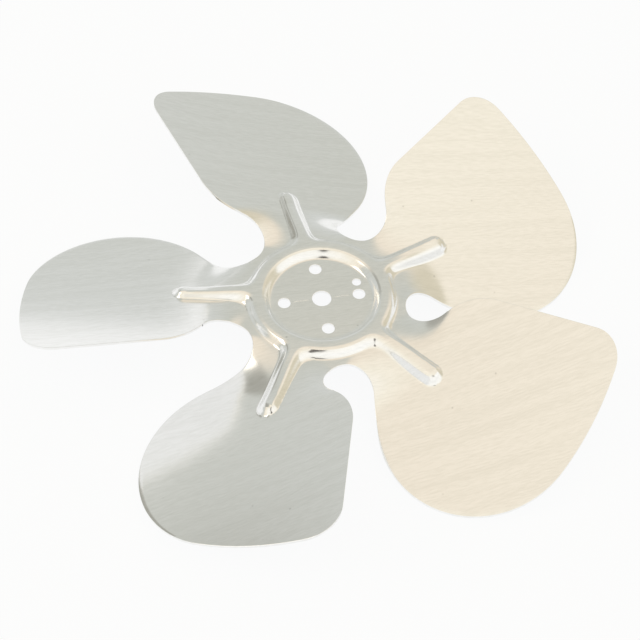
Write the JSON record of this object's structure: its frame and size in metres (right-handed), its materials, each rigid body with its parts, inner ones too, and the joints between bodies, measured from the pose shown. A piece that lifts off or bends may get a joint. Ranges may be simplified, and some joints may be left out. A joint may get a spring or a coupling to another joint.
{
  "type": "axial fan impeller",
  "caption": "Pressed sheet fan impeller with a flat hub, a ring bead and pitched blades, each stiffened by a radial rib.",
  "frame": {"origin": "centre of the bore on the hub's rear face", "axes": "+Z along the bore axis, towards the side that the ring bead and the ribs stand out on; +X along the middle of one blade's rib"},
  "size_m": [0.196, 0.1969, 0.0315],
  "materials": {
    "sheet": "bare rolled aluminium sheet with a satin, one-way grain"
  },
  "bodies": {
    "root": {"impeller": "sheet"}
  },
  "joints": []
}
